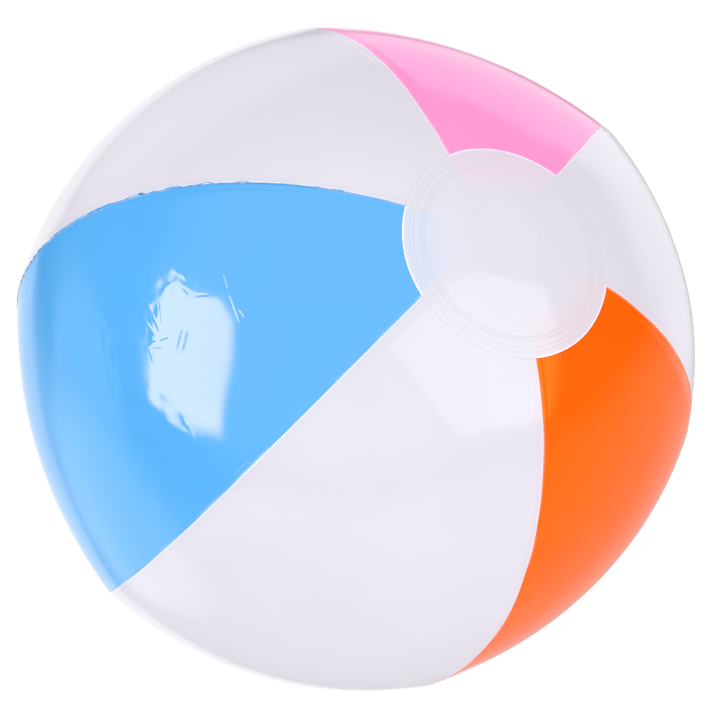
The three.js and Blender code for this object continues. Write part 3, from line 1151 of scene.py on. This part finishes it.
def closeness(nodes, links, coordinates, right, up):
    """The cosine between where a ray goes and a direction in view_direction's angles."""
    dot = nodes.new("ShaderNodeVectorMath")
    dot.operation = "DOT_PRODUCT"
    dot.inputs[1].default_value = view_direction(right, up)
    links.new(coordinates.outputs["Generated"], dot.inputs[0])
    return dot.outputs["Value"]


def even_with_key(nodes, links, coordinates):
    """Light on matt surfaces: even, with a little more from the camera's side."""
    total = add_math(nodes, "MULTIPLY_ADD")
    total.inputs[1].default_value = KEY_LIGHT
    total.inputs[2].default_value = EVEN_LIGHT
    links.new(closeness(nodes, links, coordinates, *KEY_DIRECTION), total.inputs[0])
    return total.outputs[0]


def sweep_light(nodes, links, coordinates, sweep):
    right, up, full, faded, brightness = sweep
    shade = nodes.new("ShaderNodeMapRange")
    shade.interpolation_type = "SMOOTHSTEP"
    shade.inputs["From Min"].default_value = math.cos(math.radians(faded))
    shade.inputs["From Max"].default_value = math.cos(math.radians(full))
    shade.inputs["To Max"].default_value = brightness
    links.new(closeness(nodes, links, coordinates, right, up), shade.inputs["Value"])
    return shade.outputs["Result"]


def add_world():
    """Even white light. Reflections see white sweeps with a dark room between them."""
    world = bpy.data.worlds.new("studio")
    bpy.context.scene.world = world
    world.use_nodes = True
    nodes = world.node_tree.nodes
    links = world.node_tree.links
    background = nodes["Background"]
    coordinates = nodes.new("ShaderNodeTexCoord")
    reflected = sweep_light(nodes, links, coordinates, SWEEPS[0])
    for sweep in SWEEPS[1:]:
        brighter = add_math(nodes, "MAXIMUM")
        links.new(reflected, brighter.inputs[0])
        links.new(sweep_light(nodes, links, coordinates, sweep), brighter.inputs[1])
        reflected = brighter.outputs[0]
    path = nodes.new("ShaderNodeLightPath")
    matt = nodes.new("ShaderNodeMix")
    links.new(path.outputs["Is Camera Ray"], matt.inputs[0])
    links.new(even_with_key(nodes, links, coordinates), matt.inputs[2])
    matt.inputs[3].default_value = CAMERA_LIGHT
    strength = nodes.new("ShaderNodeMix")
    links.new(path.outputs["Is Glossy Ray"], strength.inputs[0])
    links.new(matt.outputs[0], strength.inputs[2])
    links.new(reflected, strength.inputs[3])
    links.new(strength.outputs[0], background.inputs["Strength"])
    background.inputs["Color"].default_value = (1, 1, 1, 1)


def view_direction(right_degrees, up_degrees):
    """A direction given by its angles to the right of and above the line to the camera."""
    right = math.radians(right_degrees)
    up = math.radians(up_degrees)
    flat = math.sin(right) * VIEW_RIGHT + math.cos(right) * VIEW_BACK
    return math.cos(up) * flat + math.sin(up) * VIEW_UP


def softbox_material(name, strength, colour):
    """Light that fades at the box's edge and isn't carried on by matt surfaces."""
    material = bpy.data.materials.new(name)
    material.use_nodes = True
    nodes = material.node_tree.nodes
    links = material.node_tree.links
    nodes.clear()
    output = nodes.new("ShaderNodeOutputMaterial")
    emission = nodes.new("ShaderNodeEmission")
    emission.inputs["Color"].default_value = (*colour, 1)
    glow = nodes.new("ShaderNodeAttribute")
    glow.attribute_name = "glow"
    path = nodes.new("ShaderNodeLightPath")
    direct = add_math(nodes, "LESS_THAN")
    direct.inputs[1].default_value = 0.5
    links.new(path.outputs["Diffuse Depth"], direct.inputs[0])
    share = add_math(nodes, "MULTIPLY")
    links.new(glow.outputs["Fac"], share.inputs[0])
    links.new(direct.outputs[0], share.inputs[1])
    power = add_math(nodes, "MULTIPLY")
    power.inputs[1].default_value = strength
    links.new(share.outputs[0], power.inputs[0])
    links.new(power.outputs[0], emission.inputs["Strength"])
    links.new(emission.outputs[0], output.inputs["Surface"])
    return material


def add_softbox(name, corners, strength, colour):
    """A studio softbox, seen only in reflections."""
    outer = [view_direction(right, up) * SOFTBOX_DISTANCE for right, up in corners]
    middle = sum(outer, Vector()) / len(outer)
    inner = [corner.lerp(middle, SOFT_EDGE) for corner in outer]
    points = [CENTRE + point for point in (*outer, *inner)]
    count = len(corners)
    faces = [list(range(count, 2 * count))]
    for corner in range(count):
        following = (corner + 1) % count
        faces.append([corner, following, following + count, corner + count])
    mesh = bpy.data.meshes.new(name)
    mesh.from_pydata(points, [], faces)
    glow = mesh.attributes.new("glow", "FLOAT", "POINT")
    glow.data.foreach_set("value", [0.0] * count + [1.0] * count)
    softbox = add_object(name, mesh, softbox_material(name, strength, colour))
    softbox.visible_camera = False
    softbox.visible_diffuse = False
    softbox.visible_shadow = False


def add_floor():
    """A plain pale floor."""
    mesh = bpy.data.meshes.new("floor")
    shape = bmesh.new()
    bmesh.ops.create_grid(shape, x_segments=1, y_segments=1, size=FLOOR_SIZE)
    shape.to_mesh(mesh)
    shape.free()
    material = bpy.data.materials.new("pale_floor")
    material.use_nodes = True
    nodes = material.node_tree.nodes
    shader = nodes["Principled BSDF"]
    shader.inputs["Base Color"].default_value = (0.85, 0.85, 0.85, 1)
    shader.inputs["Roughness"].default_value = 0.8
    shader.inputs["Specular IOR Level"].default_value = 0
    shader.inputs["Emission Color"].default_value = (1, 1, 1, 1)
    path = nodes.new("ShaderNodeLightPath")
    glow = add_math(nodes, "MULTIPLY_ADD")
    glow.inputs[1].default_value = FLOOR_GLOW
    glow.inputs[2].default_value = FLOOR_GLOW
    material.node_tree.links.new(path.outputs["Is Camera Ray"], glow.inputs[0])
    material.node_tree.links.new(glow.outputs[0], shader.inputs["Emission Strength"])
    floor = add_object("floor", mesh, material)
    floor.location.z = cad_low.z
    floor.visible_glossy = False


# ---- The scene ----

add_camera()
films = {
    "film_white": film_material("white_film", "film_white", WHITE),
    "film_blue": film_material("blue_film", "film_blue", BLUE),
    "film_orange": film_material("orange_film", "film_orange", ORANGE, ORANGE_GLOSS),
    "film_pink": film_material("pink_film", "film_pink", PINK),
    "film_disc": film_material("disc_film", "film_disc", WHITE),
}
for index, name in enumerate(NAMES):
    make_panel(index, films["film_" + name.split("_")[1]])
make_disc("end_disc_top", 1, films["film_disc"])
make_disc("end_disc_bottom", -1, films["film_disc"])
make_bead(films["film_blue"])
make_valve(valve_material())

add_world()
add_softbox("softbox_left", LEFT_SOFTBOX, LEFT_STRENGTH, LEFT_COLOUR)
add_softbox("softbox_right", RIGHT_SOFTBOX, RIGHT_STRENGTH, RIGHT_COLOUR)
add_floor()
bpy.context.scene.view_settings.view_transform = "Standard"
